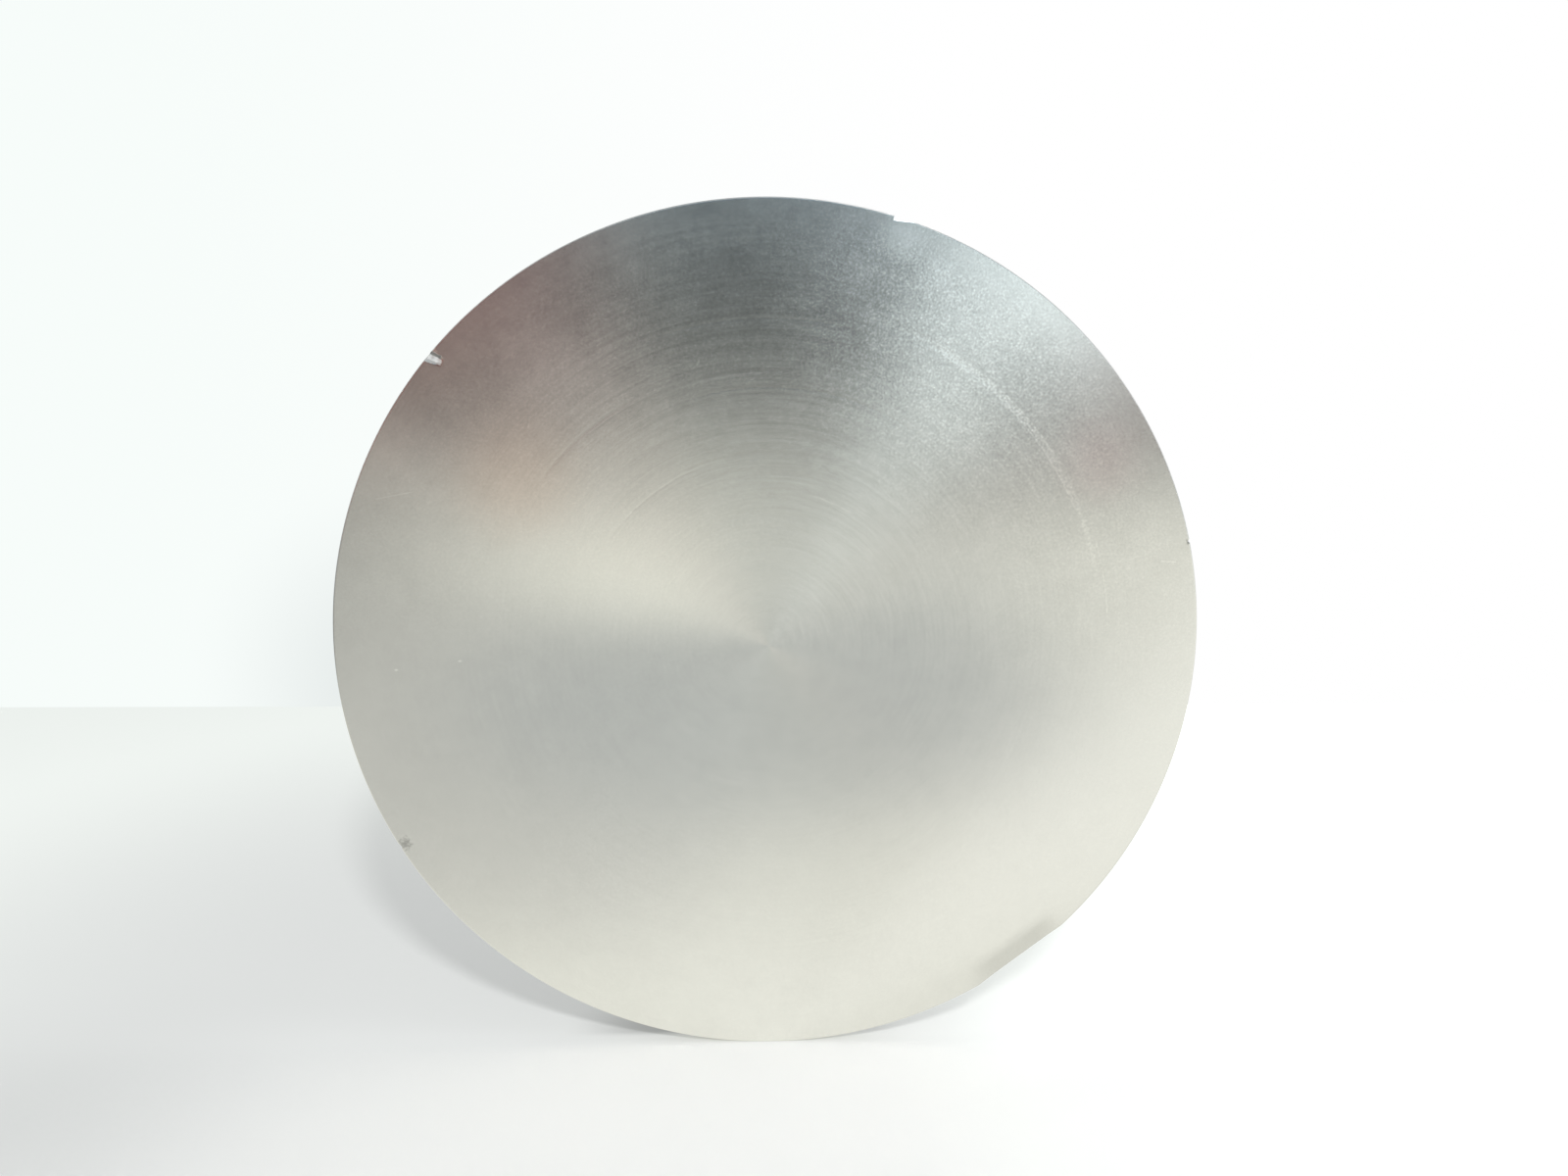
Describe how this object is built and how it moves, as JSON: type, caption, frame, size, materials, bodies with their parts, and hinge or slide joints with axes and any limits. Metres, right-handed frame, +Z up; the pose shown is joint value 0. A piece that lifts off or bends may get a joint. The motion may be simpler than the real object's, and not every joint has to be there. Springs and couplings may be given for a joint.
{
  "type": "brake disc rotor",
  "caption": "Plain solid motorcycle brake disc rotor, turned flat across both faces, with small knocks on its rim. It has no bore, bolt holes or carrier.",
  "frame": {"origin": "centre of the rear face, which is the face that sits against a hub", "axes": "+Y along the disc's axis, out of the rear face; the front face looks along -Y; +Z is up, with the disc standing on its rim"},
  "size_m": [0.292, 0.005, 0.292],
  "materials": {
    "turned_steel": "satin, lathe-turned in fine concentric rings on both faces and round the rim"
  },
  "bodies": {
    "root": {"brake_disc": "turned_steel"}
  },
  "joints": []
}
